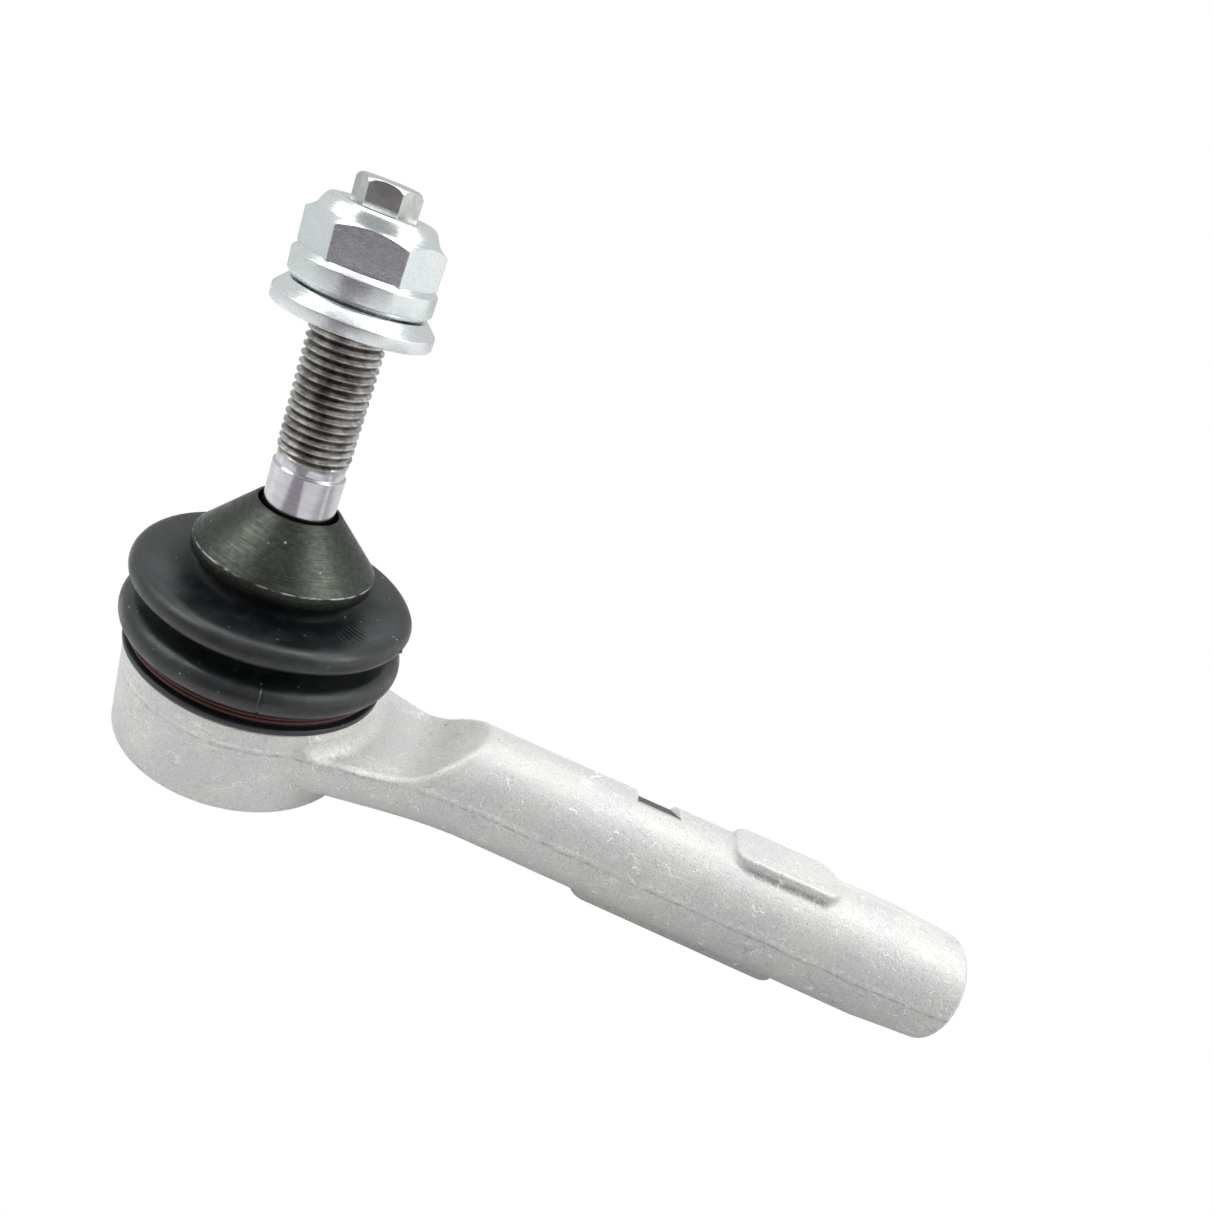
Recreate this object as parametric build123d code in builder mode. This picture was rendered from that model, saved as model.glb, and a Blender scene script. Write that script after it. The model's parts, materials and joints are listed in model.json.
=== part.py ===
"""Tie rod end with ball joint, dust boot and captive-washer lock nut.

Millimetres. Origin at the ball centre, +Z up the stud, +X along the rod
towards its threaded mouth.
"""
from build123d import *
import math
import os

os.makedirs("parts", exist_ok=True)

# ---- ball and its plastic seats
ball_r = 13.5
ball_pole_z = -9.5
seat_gap = 0.05
seat_outer_r = 16.95
seat_split = 0.25
seat_lower_z = -8.9
seat_mouth_z = 7.2
seat_flare_r = 12.8
seat_upper_z = 8.0

# ---- cup of the housing
cup_bottom_z = -14.5
cup_bottom_r = 26.0
cup_rim_z = 6.4
cup_rim_r = 26.6
cup_foot_round = 1.3
cup_foot_break = 0.03
cup_rim_chamfer = 0.4
cup_bore_r = 17.0
cup_mouth_r = 15.0
cup_mouth_flare_r = 17.5
boot_seat_r = 23.0
boot_seat_bead_r = 23.5
boot_seat_bead_z = 10.6
boot_seat_z = 11.5
bead_break = 0.3
cover_recess_r = 19.5
cover_recess_z = -11.4
cover_lip_r = 18.4

# ---- relief behind the cup, turned about the stud axis
relief_floor_z = 1.9
relief_wall_r = 27.2
relief_wall_round = 3.0
relief_floor_r = 37.1
relief_arc_r = 10.0
relief_slope = 47.0
relief_top_z = 14.0
relief_edge_round = 2.0
relief_margin = 0.4

# ---- neck and rod
# distance from the stud axis, half width and half height of the neck's oval sections
neck_sections = (
    (14.0, 21.3, 13.5),
    (21.0, 19.7, 13.4),
    (28.0, 17.8, 13.2),
    (39.0, 14.5, 12.7),
    (48.0, 12.7, 12.2),
    (55.0, 12.1, 12.1),
)
neck_floor_z = -13.2
neck_round = 2.5
rod_r = 12.1
rod_start_x = 55.0
taper_start_x = 140.0
rod_end_r = 11.2
rod_end_x = 153.8
rod_end_round = 1.2
rod_bore_r = 7.19
rod_bore_depth = 62.0
rod_bore_chamfer = 1.0
drill_point = 4.2

# ---- wrench pads and flat on the rod
pad_width = 11.0
pad_z = 13.1
pad_root_z = 9.0
pad_corner = 3.5
pad_edge_round = 0.9
pad_foot_round = 1.4
upper_pad_x = (103.8, 126.0)
lower_pad_x = (79.5, 125.5)
flat_x = (83.3, 92.6)
flat_distance = 10.65
flat_turn = -26.0
flat_block = 20.0
flat_clearance = 5.0

# ---- cover plate and disc spring
cover_t = 1.2
cover_r = 19.4
cover_pan_r = 13.4
cover_pan_wall = 1.0
cover_pan_z = -13.2
spring_inner_r = 11.2
spring_outer_r = 16.2
spring_t = 0.9
spring_rise = 1.55

# ---- stud
neck_r = 6.2
neck_z = 15.5
land_r = 8.2
land_z = 21.5
shoulder_z = 28.6
press_r = 7.3
press_step = 0.3
shank_r = 7.0
shank_z = 48.6
shank_break = 0.2
undercut_r = 6.55
undercut_z = 50.5
undercut_run = 0.5
pitch = 1.5
crest_r = 6.95
root_r = 6.08
crest_flat = 0.18
thread_gap = 0.06
helix_z = 50.806
helix_turns = 27
lead_in_rise = 1.9
thread_top_z = 91.2
tip_sink = 0.3
end_chamfer = 1.2
tip_flats = 9.8
tip_turn = -50.3
tip_z = 97.0
tip_chamfer = 0.9

# ---- conical collar
collar_clearance = 0.01
collar_rim_r = 18.0
collar_rim_z = 31.2
collar_rim_break = 0.25
collar_top_r = 8.35
collar_top_z = 40.8
collar_mouth_r = 8.05
collar_press_z = 36.5

# ---- dust boot
boot_t = 1.5
boot_lift = 0.02
boot_lip_r = 27.0
boot_lip_z = 7.7
boot_groove_r = 25.5
boot_groove_z = 10.4
lower_fold_r = 25.6
lower_fold_z = 13.6
lower_fold_round = 3.2
boot_root_in = 0.4
valley_r = 21.6
valley_z = 18.5
upper_fold_r = 26.0
upper_fold_z = 22.8
upper_fold_round = 2.5
boot_neck_r = 17.0
boot_neck_root_r = 19.6
boot_neck_root_z = 24.9
boot_neck_z = 26.6
boot_top_z = 28.45
boot_seal_r = 8.3
boot_seal_z = 24.2
boot_inner_neck_r = 16.8
boot_seal_slope = 2.0
boot_inner_neck_z = 23.6
band_inner_r = 23.6
band_outer_r = 24.8
band_z = (7.2, 9.9)
upper_ring_inner_r = 10.5
upper_ring_outer_r = 15.4
upper_ring_z = (25.4, 27.2)

# ---- two-turn wire ring round the boot lip
wire_r = 0.4
wire_pitch = 0.88
wire_turns = 2
wire_z = 8.15
wire_coil_r = 25.93

# ---- captive washer
washer_r = 14.3
washer_z = 75.2
washer_side_z = 77.3
washer_crown_r = 12.2
washer_crown_z = 79.3
washer_break = 0.3
washer_bore_r = 9.0
washer_recess_r = 10.2
washer_recess_z = 76.4

# ---- lock nut
nut_flats = 21.0
nut_turn = -46.5
nut_bore_r = 7.05
spigot_r = 8.7
spigot_lip_r = 9.8
spigot_lip_z = 76.1
spigot_z = 75.5
flange_z = 79.6
flange_r = 12.6
flange_bevel = 0.7
flange_side_z = 83.6
flange_top_z = 84.4
flange_top_r = 11.6
hex_root_z = 84.0
hex_corner_r = 12.3
hex_corner_z = 89.5
crown_base_r = 10.4
crown_base_z = 90.7
crown_waist_r = 9.8
crown_waist_z = 91.9
crown_top_r = 8.5
crown_top_z = 93.0
crown_round = 0.9

# reach of the cutting shapes beyond the pieces
sky_z = 24.0
deep_z = -22.0
far_r = 70.0
spare = 1.0
cutter_gap = 0.05


def cup_radius(z):
    """Radius of the drafted cup wall at height z."""
    draft = (cup_rim_r - cup_bottom_r) / (cup_rim_z - cup_bottom_z)
    return cup_rim_r + (z - cup_rim_z) * draft


def sphere_radius(r, z):
    """Radius of the circle that height z cuts from a sphere about the origin."""
    return math.sqrt(r**2 - z**2)


def on_relief_edge(edge):
    """Tell whether an edge is where the relief meets the side of the neck."""
    middle = edge @ 0.5
    above_floor = min((edge @ 0).Z, (edge @ 1).Z) > relief_floor_z - relief_margin
    off_centre = abs(middle.Y) > relief_margin and middle.X < rod_start_x - relief_margin
    outside_cup = math.hypot(middle.X, middle.Y) > relief_wall_r + cutter_gap
    return outside_cup and above_floor and off_centre


def on_junction(edge):
    """Tell whether an edge is where the neck meets the cup wall."""
    probe = edge @ 0.3
    return abs(math.hypot(probe.X, probe.Y) - cup_rim_r) < neck_round and probe.X > 0


def on_pad_foot(edge):
    """Tell whether an edge is where a sharp-footed wrench pad meets the round rod."""
    first, last = lower_pad_x[0] - spare, upper_pad_x[1] + spare
    points = [edge @ 0, edge @ 0.5, edge @ 1]
    on_rod = all(abs(math.hypot(p.Y, p.Z) - rod_r) < cutter_gap for p in points)
    return on_rod and all(first < p.X < last for p in points)


# ---------------------------------------------------------------- housing
slope = math.radians(relief_slope)
relief_arc_end_r = relief_floor_r + relief_arc_r * math.sin(slope)
relief_arc_end_z = relief_floor_z + relief_arc_r * (1 - math.cos(slope))
relief_top_r = relief_arc_end_r + (relief_top_z - relief_arc_end_z) / math.tan(slope)

with BuildPart() as housing:
    # tall drafted blank of the cup, seam on the side away from the rod
    with BuildSketch(Plane.XZ):
        with BuildLine():
            Polyline(
                (0, deep_z),
                (-cup_radius(deep_z), deep_z),
                (-cup_radius(sky_z), sky_z),
                (0, sky_z),
                close=True,
            )
        make_face()
    revolve(axis=Axis.Z)
    # neck flaring from the round rod to a wide oval at the cup
    for x, half_width, half_height in neck_sections:
        with BuildSketch(Plane.YZ.offset(x)):
            Ellipse(half_height, half_width, rotation=90)
    loft()
    junction_edges = housing.edges(Select.LAST).filter_by(on_junction)
    fillet(junction_edges.sort_by(Axis.X), neck_round)
    # tapered rod
    with BuildSketch(Plane.XZ):
        with BuildLine():
            Polyline((rod_start_x, 0), (rod_start_x, rod_r), (taper_start_x, rod_r))
            Line((taper_start_x, rod_r), (rod_end_x - rod_end_round, rod_end_r))
            mouth_arc = RadiusArc(
                (rod_end_x - rod_end_round, rod_end_r),
                (rod_end_x, rod_end_r - rod_end_round),
                rod_end_round,
            )
            Polyline(mouth_arc @ 1, (rod_end_x, 0), (rod_start_x, 0))
        make_face()
    revolve(axis=Axis.X)
    # everything above the rim and the scooped relief
    with BuildSketch(Plane.XZ):
        with BuildLine():
            rim = Polyline(
                (0, sky_z + spare),
                (0, cup_rim_z),
                (cup_rim_r - cup_rim_chamfer, cup_rim_z),
                (cup_rim_r, cup_rim_z - cup_rim_chamfer),
                (relief_wall_r, relief_floor_z + relief_wall_round),
            )
            wall_foot = RadiusArc(
                rim @ 1,
                (relief_wall_r + relief_wall_round, relief_floor_z),
                -relief_wall_round,
            )
            floor = Line(wall_foot @ 1, (relief_floor_r, relief_floor_z))
            rise = JernArc(
                start=floor @ 1,
                tangent=(1, 0),
                radius=relief_arc_r,
                arc_size=relief_slope,
            )
            ramp = Line(rise @ 1, (relief_top_r, relief_top_z))
            Polyline(ramp @ 1, (relief_top_r, sky_z + spare), (0, sky_z + spare))
        make_face()
    revolve(axis=Axis.Z, mode=Mode.SUBTRACT)
    relief_edges = housing.edges(Select.LAST).filter_by(on_relief_edge)
    fillet(relief_edges.sort_by(Axis.X), relief_edge_round)
    # everything below the cup floor and the neck floor
    with BuildSketch(Plane.XZ):
        with BuildLine():
            foot = cup_radius(cup_bottom_z + cup_foot_round) + cup_foot_break
            base = Line((0, cup_bottom_z), (foot - cup_foot_round, cup_bottom_z))
            corner = RadiusArc(base @ 1, (foot, neck_floor_z), -cup_foot_round)
            Polyline(
                corner @ 1,
                (far_r, neck_floor_z),
                (far_r, deep_z - spare),
                (0, deep_z - spare),
                (0, cup_bottom_z),
            )
        make_face()
    revolve(axis=Axis.Z, mode=Mode.SUBTRACT)
    # raised seat for the boot lip
    with BuildSketch(Plane.XZ):
        with BuildLine():
            Polyline(
                (0, cup_rim_z - spare),
                (boot_seat_r, cup_rim_z - spare),
                (boot_seat_r, boot_seat_bead_z),
                (boot_seat_bead_r, boot_seat_bead_z + bead_break),
                (boot_seat_bead_r, boot_seat_z - bead_break),
                (boot_seat_bead_r - 2 * bead_break, boot_seat_z),
                (0, boot_seat_z),
                close=True,
            )
        make_face()
    revolve(axis=Axis.Z)
    # ball chamber, mouth and cover recess
    with BuildSketch(Plane.XZ):
        with BuildLine():
            Polyline(
                (0, cup_bottom_z - spare),
                (cover_lip_r, cup_bottom_z - spare),
                (cover_lip_r, cover_recess_z - cover_t),
                (cover_recess_r, cover_recess_z - cover_t),
                (cover_recess_r, cover_recess_z),
                (cup_bore_r, cover_recess_z),
                (cup_bore_r, seat_upper_z),
                (cup_mouth_r, seat_upper_z),
                (cup_mouth_flare_r, boot_seat_z),
                (cup_mouth_flare_r, boot_seat_z + spare),
                (0, boot_seat_z + spare),
                close=True,
            )
        make_face()
    revolve(axis=Axis.Z, mode=Mode.SUBTRACT)
    # wrench pads above and below the rod
    for span, side in ((upper_pad_x, 1), (lower_pad_x, -1)):
        with BuildSketch(Plane.XY.offset(side * pad_root_z)):
            with Locations(((span[0] + span[1]) / 2, 0)):
                RectangleRounded(span[1] - span[0], pad_width, pad_corner)
        extrude(amount=side * (pad_z - pad_root_z))
        pad_edges = housing.edges().filter_by_position(
            Axis.Z, side * pad_z - cutter_gap, side * pad_z + cutter_gap
        )
        fillet(pad_edges, pad_edge_round)
        pad_feet = housing.edges().filter_by(on_pad_foot)
        fillet(pad_feet.sort_by(Axis.X), pad_foot_round)
    # small slanted flat on the back of the rod
    flat_plane = Plane.XY.rotated((flat_turn, 0, 0)).offset(flat_distance)
    with BuildSketch(flat_plane):
        with Locations(((flat_x[0] + flat_x[1]) / 2, 0)):
            Rectangle(flat_x[1] - flat_x[0], flat_block)
    extrude(amount=flat_clearance, mode=Mode.SUBTRACT)
    # blind bore for the rod thread
    with BuildSketch(Plane.XZ):
        with BuildLine():
            bore_floor_x = rod_end_x - rod_bore_depth
            Polyline(
                (rod_end_x + spare, 0),
                (rod_end_x + spare, rod_bore_r + rod_bore_chamfer),
                (rod_end_x, rod_bore_r + rod_bore_chamfer),
                (rod_end_x - rod_bore_chamfer, rod_bore_r),
                (bore_floor_x, rod_bore_r),
                (bore_floor_x - drill_point, 0),
                close=True,
            )
        make_face()
    revolve(axis=Axis.X, mode=Mode.SUBTRACT)

# ---------------------------------------------------------------- seats
with BuildPart() as bearing_seat_lower:
    with BuildSketch(Plane.XZ):
        with BuildLine():
            bowl_r = ball_r + seat_gap
            shell = Polyline(
                (sphere_radius(bowl_r, seat_lower_z), seat_lower_z),
                (seat_outer_r, seat_lower_z),
                (seat_outer_r, -seat_split),
                (sphere_radius(bowl_r, seat_split), -seat_split),
            )
            RadiusArc(shell @ 1, shell @ 0, bowl_r)
        make_face()
    revolve(axis=Axis.Z)

with BuildPart() as bearing_seat_upper:
    with BuildSketch(Plane.XZ):
        with BuildLine():
            shell = Polyline(
                (sphere_radius(bowl_r, seat_split), seat_split),
                (seat_outer_r, seat_split),
                (seat_outer_r, seat_upper_z),
                (seat_flare_r, seat_upper_z),
                (sphere_radius(bowl_r, seat_mouth_z), seat_mouth_z),
            )
            RadiusArc(shell @ 1, shell @ 0, bowl_r)
        make_face()
    revolve(axis=Axis.Z)

# ---------------------------------------------------------------- spring and cover
with BuildPart() as preload_spring:
    with BuildSketch(Plane.XZ):
        with BuildLine():
            Polyline(
                (spring_outer_r, cover_recess_z),
                (spring_outer_r, cover_recess_z + spring_t),
                (spring_inner_r, cover_recess_z + spring_t + spring_rise),
                (spring_inner_r, cover_recess_z + spring_rise),
                close=True,
            )
        make_face()
    revolve(axis=Axis.Z)

with BuildPart() as cover_plate:
    with BuildSketch(Plane.XZ):
        with BuildLine():
            Polyline(
                (0, cover_pan_z),
                (cover_pan_r - cover_pan_wall, cover_pan_z),
                (cover_pan_r, cover_recess_z),
                (cover_r, cover_recess_z),
                (cover_r, cover_recess_z - cover_t),
                (cover_pan_r + cover_pan_wall, cover_recess_z - cover_t),
                (cover_pan_r, cover_pan_z - cover_t),
                (0, cover_pan_z - cover_t),
                close=True,
            )
        make_face()
    revolve(axis=Axis.Z)

# ---------------------------------------------------------------- stud
neck_start_z = sphere_radius(ball_r, neck_r)
with BuildPart() as ball_stud:
    with BuildSketch(Plane.XZ):
        with BuildLine():
            pole = Line((0, ball_pole_z), (sphere_radius(ball_r, ball_pole_z), ball_pole_z))
            ball = ThreePointArc(pole @ 1, (ball_r, 0), (neck_r, neck_start_z))
            Polyline(
                ball @ 1,
                (neck_r, neck_z),
                (land_r, land_z),
                (land_r, shoulder_z),
                (press_r, shoulder_z),
                (press_r, collar_press_z),
                (shank_r, collar_press_z + press_step),
                (shank_r, shank_z - shank_break),
                (undercut_r, shank_z + shank_break),
                (undercut_r, undercut_z),
                (root_r, undercut_z + undercut_run),
                (root_r, thread_top_z + tip_sink),
                (0, thread_top_z + tip_sink),
                (0, ball_pole_z),
            )
        make_face()
    revolve(axis=Axis.Z)
    # right-hand external thread
    with BuildLine() as thread_path:
        Helix(
            pitch=pitch,
            height=pitch * helix_turns,
            radius=root_r - thread_gap,
            center=(0, 0, helix_z),
        )
    ridge_plane = Plane(
        origin=thread_path.line @ 0,
        x_dir=(1, 0, 0),
        z_dir=thread_path.line % 0,
    )
    with BuildSketch(ridge_plane):
        with BuildLine():
            ridge_h = crest_r - root_r + thread_gap
            ridge_half = (pitch - thread_gap) / 2
            Polyline(
                (0, -ridge_half),
                (0, ridge_half),
                (ridge_h, crest_flat / 2),
                (ridge_h, -crest_flat / 2),
                close=True,
            )
        make_face()
    sweep(path=thread_path.line, is_frenet=True)
    # lead-in and lead-out of the thread
    with BuildSketch(Plane.XZ):
        with BuildLine():
            Polyline(
                (undercut_r + cutter_gap, undercut_z - spare),
                (undercut_r + cutter_gap, undercut_z),
                (crest_r + spare, undercut_z + lead_in_rise),
                (crest_r + spare, undercut_z - spare),
                close=True,
            )
        make_face()
        with BuildLine():
            Polyline(
                (0, thread_top_z),
                (crest_r - end_chamfer, thread_top_z),
                (crest_r + spare, thread_top_z - end_chamfer - spare),
                (crest_r + spare, thread_top_z + pitch),
                (0, thread_top_z + pitch),
                close=True,
            )
        make_face()
    revolve(axis=Axis.Z, mode=Mode.SUBTRACT)

# small hexagon at the tip, its corners broken by a cone
with BuildPart() as tip_hexagon:
    with BuildSketch(Plane.XY.offset(thread_top_z - spare)):
        RegularPolygon(tip_flats / 2, 6, major_radius=False, rotation=tip_turn)
    extrude(amount=tip_z - thread_top_z + spare)
    with BuildSketch(Plane.XZ):
        with BuildLine():
            tip_corner_r = tip_flats / math.sqrt(3)
            Polyline(
                (0, thread_top_z - spare),
                (tip_corner_r + cutter_gap, thread_top_z - spare),
                (tip_corner_r + cutter_gap, tip_z - tip_chamfer),
                (tip_corner_r - tip_chamfer, tip_z),
                (0, tip_z),
                close=True,
            )
        make_face()
    revolve(axis=Axis.Z, mode=Mode.INTERSECT)

with ball_stud:
    add(tip_hexagon.part)

# ---------------------------------------------------------------- collar
with BuildPart() as cone_collar:
    with BuildSketch(Plane.XZ):
        with BuildLine():
            collar_bore_r = press_r + collar_clearance
            Polyline(
                (collar_bore_r, shoulder_z),
                (collar_rim_r - collar_rim_break, shoulder_z),
                (collar_rim_r, shoulder_z + collar_rim_break),
                (collar_rim_r, collar_rim_z),
                (collar_top_r, collar_top_z),
                (collar_mouth_r, collar_top_z),
                (collar_mouth_r, collar_press_z),
                (collar_bore_r, collar_press_z),
                close=True,
            )
        make_face()
    revolve(axis=Axis.Z)

# ---------------------------------------------------------------- dust boot
with BuildPart() as dust_boot:
    with BuildSketch(Plane.XZ):
        with BuildLine():
            lip = Polyline(
                (boot_seat_r + boot_lift, cup_rim_z + boot_lift),
                (boot_lip_r, cup_rim_z + boot_lift),
                (boot_lip_r, boot_lip_z),
                (boot_groove_r, boot_lip_z),
                (boot_groove_r, boot_groove_z),
            )
            lower_out = ThreePointArc(
                lip @ 1,
                (lower_fold_r + lower_fold_round, lower_fold_z),
                (lower_fold_r, lower_fold_z + lower_fold_round),
            )
            valley_out = ThreePointArc(
                lower_out @ 1,
                (valley_r, valley_z),
                (upper_fold_r, upper_fold_z - upper_fold_round),
            )
            upper_out = ThreePointArc(
                valley_out @ 1,
                (upper_fold_r + upper_fold_round, upper_fold_z),
                (upper_fold_r, upper_fold_z + upper_fold_round),
            )
            top = Polyline(
                upper_out @ 1,
                (boot_neck_root_r, boot_neck_root_z),
                (boot_neck_r, boot_neck_z),
                (boot_neck_r, boot_top_z),
                (boot_seal_r, boot_top_z),
                (boot_seal_r, boot_seal_z),
                (boot_inner_neck_r - boot_seal_slope, boot_seal_z),
                (boot_inner_neck_r, boot_inner_neck_z),
                (upper_fold_r, upper_fold_z + upper_fold_round - boot_t),
            )
            upper_in = ThreePointArc(
                top @ 1,
                (upper_fold_r + upper_fold_round - boot_t, upper_fold_z),
                (upper_fold_r, upper_fold_z - upper_fold_round + boot_t),
            )
            valley_in = ThreePointArc(
                upper_in @ 1,
                (valley_r - boot_t, valley_z),
                (lower_fold_r, lower_fold_z + lower_fold_round - boot_t),
            )
            lower_in = ThreePointArc(
                valley_in @ 1,
                (lower_fold_r + lower_fold_round - boot_t, lower_fold_z),
                (lower_fold_r - boot_root_in, lower_fold_z - lower_fold_round + boot_t),
            )
            Polyline(
                lower_in @ 1,
                (boot_seat_bead_r + boot_lift, boot_seat_z),
                (boot_seat_bead_r + boot_lift, boot_seat_bead_z),
                (boot_seat_r + boot_lift, boot_seat_bead_z - bead_break),
                (boot_seat_r + boot_lift, cup_rim_z + boot_lift),
            )
        make_face()
    revolve(axis=Axis.Z)
    # pockets that hold the two moulded-in steel rings
    for inner_r, outer_r, span in (
        (band_inner_r, band_outer_r, band_z),
        (upper_ring_inner_r, upper_ring_outer_r, upper_ring_z),
    ):
        with BuildSketch(Plane.XY.offset(span[0])):
            Circle(outer_r)
            Circle(inner_r, mode=Mode.SUBTRACT)
        extrude(amount=span[1] - span[0], mode=Mode.SUBTRACT)

with BuildPart() as boot_lower_band:
    with BuildSketch(Plane.XY.offset(band_z[0])):
        Circle(band_outer_r)
        Circle(band_inner_r, mode=Mode.SUBTRACT)
    extrude(amount=band_z[1] - band_z[0])

with BuildPart() as boot_upper_ring:
    with BuildSketch(Plane.XY.offset(upper_ring_z[0])):
        Circle(upper_ring_outer_r)
        Circle(upper_ring_inner_r, mode=Mode.SUBTRACT)
    extrude(amount=upper_ring_z[1] - upper_ring_z[0])

# ---------------------------------------------------------------- wire ring
with BuildPart() as boot_wire_ring:
    with BuildLine() as wire_path:
        Helix(
            pitch=wire_pitch,
            height=wire_pitch * wire_turns,
            radius=wire_coil_r,
            center=(0, 0, wire_z),
        )
    with BuildSketch(Plane(origin=wire_path.line @ 0, z_dir=wire_path.line % 0)):
        Circle(wire_r)
    sweep(path=wire_path.line, is_frenet=True)

# ---------------------------------------------------------------- captive washer
with BuildPart() as captive_washer:
    with BuildSketch(Plane.XZ):
        with BuildLine():
            Polyline(
                (washer_recess_r, washer_z),
                (washer_r - washer_break, washer_z),
                (washer_r, washer_z + washer_break),
                (washer_r, washer_side_z),
                (washer_crown_r, washer_crown_z),
                (washer_bore_r, washer_crown_z),
                (washer_bore_r, washer_recess_z),
                (washer_recess_r, washer_recess_z),
                close=True,
            )
        make_face()
    revolve(axis=Axis.Z)

# ---------------------------------------------------------------- lock nut
with BuildPart() as lock_nut:
    with BuildSketch(Plane.XY.offset(hex_root_z)):
        RegularPolygon(nut_flats / 2, 6, major_radius=False, rotation=nut_turn)
    extrude(amount=crown_top_z - hex_root_z)
    # turned envelope: corner chamfer and conical locking crown
    with BuildSketch(Plane.XZ) as envelope:
        with BuildLine():
            Polyline(
                (0, hex_root_z),
                (hex_corner_r, hex_root_z),
                (hex_corner_r, hex_corner_z),
                (crown_base_r, crown_base_z),
                (crown_waist_r, crown_waist_z),
                (crown_top_r, crown_top_z),
                (0, crown_top_z),
                close=True,
            )
        make_face()
        fillet(envelope.vertices().sort_by(Axis.Y)[-4:-1].sort_by(Axis.X)[-2:-1], crown_round)
    revolve(axis=Axis.Z, mode=Mode.INTERSECT)
    # round flange and the flared spigot that keeps the washer
    with BuildSketch(Plane.XZ):
        with BuildLine():
            Polyline(
                (0, spigot_z),
                (spigot_lip_r, spigot_z),
                (spigot_lip_r, spigot_lip_z),
                (spigot_r, spigot_lip_z),
                (spigot_r, flange_z),
                (flange_r - flange_bevel, flange_z),
                (flange_r, flange_z + flange_bevel),
                (flange_r, flange_side_z),
                (flange_top_r, flange_top_z),
                (0, flange_top_z),
                close=True,
            )
        make_face()
    revolve(axis=Axis.Z)
    with BuildSketch(Plane.XY.offset(spigot_z)):
        Circle(nut_bore_r)
    extrude(amount=crown_top_z - spigot_z, mode=Mode.SUBTRACT)

# ---------------------------------------------------------------- files
pieces = {
    "housing": housing,
    "bearing_seat_lower": bearing_seat_lower,
    "bearing_seat_upper": bearing_seat_upper,
    "preload_spring": preload_spring,
    "cover_plate": cover_plate,
    "ball_stud": ball_stud,
    "cone_collar": cone_collar,
    "dust_boot": dust_boot,
    "boot_lower_band": boot_lower_band,
    "boot_upper_ring": boot_upper_ring,
    "boot_wire_ring": boot_wire_ring,
    "captive_washer": captive_washer,
    "lock_nut": lock_nut,
}
for name, piece in pieces.items():
    piece.part.label = name
    export_step(piece.part, f"parts/{name}.step")
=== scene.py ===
import json
import math

import bpy
import bmesh
import numpy as np
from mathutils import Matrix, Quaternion, Vector


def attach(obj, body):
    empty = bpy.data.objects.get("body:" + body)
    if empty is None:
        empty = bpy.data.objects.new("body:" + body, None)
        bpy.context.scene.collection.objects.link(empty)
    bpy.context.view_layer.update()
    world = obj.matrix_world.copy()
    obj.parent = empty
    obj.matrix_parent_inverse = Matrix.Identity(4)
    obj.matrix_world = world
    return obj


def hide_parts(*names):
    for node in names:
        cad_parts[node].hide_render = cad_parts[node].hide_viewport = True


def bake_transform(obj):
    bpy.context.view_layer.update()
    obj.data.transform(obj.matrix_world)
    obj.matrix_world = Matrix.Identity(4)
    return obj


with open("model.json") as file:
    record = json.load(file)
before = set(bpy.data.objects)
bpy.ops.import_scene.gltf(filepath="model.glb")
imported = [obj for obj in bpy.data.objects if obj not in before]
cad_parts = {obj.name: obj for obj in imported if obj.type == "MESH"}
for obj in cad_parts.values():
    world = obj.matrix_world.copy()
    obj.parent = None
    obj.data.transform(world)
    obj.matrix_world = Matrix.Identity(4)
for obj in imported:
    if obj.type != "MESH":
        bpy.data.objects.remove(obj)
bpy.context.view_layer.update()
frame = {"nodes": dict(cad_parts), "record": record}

MM = 0.001
TAU = 2 * math.pi
EVEN = (1, 1, 1)
WHITE = (1, 1, 1, 1)


# ------------------------------------------------------------------ mesh helpers
def mesh_object(name, verts_mm, faces, sharp_deg=32):
    """Make a smooth-shaded mesh object from millimetre vertices."""
    data = bpy.data.meshes.new(name)
    data.from_pydata([tuple(v) for v in np.asarray(verts_mm, float) * MM], [], faces)
    made = bmesh.new()
    made.from_mesh(data)
    bmesh.ops.remove_doubles(made, verts=made.verts, dist=2e-6)
    bmesh.ops.dissolve_degenerate(made, edges=made.edges, dist=1e-6)
    bmesh.ops.recalc_face_normals(made, faces=made.faces)
    made.to_mesh(data)
    made.free()
    data.shade_smooth()
    data.set_sharp_from_angle(angle=math.radians(sharp_deg))
    obj = bpy.data.objects.new(name, data)
    bpy.context.scene.collection.objects.link(obj)
    return obj


def rounded(points, steps=5, closed=True):
    """Round the corners of an outline of (r, z, radius) points with arcs."""
    out = []
    count = len(points)
    for i, (r, z, round_r) in enumerate(points):
        here = np.array((r, z), float)
        if round_r <= 0 or (not closed and i in (0, count - 1)):
            out.append(here)
            continue
        before = np.array(points[i - 1][:2], float) - here
        after = np.array(points[(i + 1) % count][:2], float) - here
        len_b, len_a = np.linalg.norm(before), np.linalg.norm(after)
        before, after = before / len_b, after / len_a
        half = math.acos(max(-1, min(1, float(before @ after)))) / 2
        reach = min(round_r / math.tan(half), 0.49 * len_b, 0.49 * len_a)
        radius = reach * math.tan(half)
        bisector = before + after
        centre = here + bisector / np.linalg.norm(bisector) * radius / math.sin(half)
        start, end = here + before * reach - centre, here + after * reach - centre
        turn = math.atan2(start[0] * end[1] - start[1] * end[0], float(start @ end))
        for k in range(steps + 1):
            a = turn * k / steps
            out.append(centre + (start[0] * math.cos(a) - start[1] * math.sin(a),
                                 start[0] * math.sin(a) + start[1] * math.cos(a)))
    return np.array(out)


def arc(centre, radius, a0, a1, steps=12):
    """Points on an arc in the (r, z) plane, angles in degrees."""
    return [(centre[0] + radius * math.cos(math.radians(a0 + (a1 - a0) * k / steps)),
             centre[1] + radius * math.sin(math.radians(a0 + (a1 - a0) * k / steps)))
            for k in range(steps + 1)]


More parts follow.
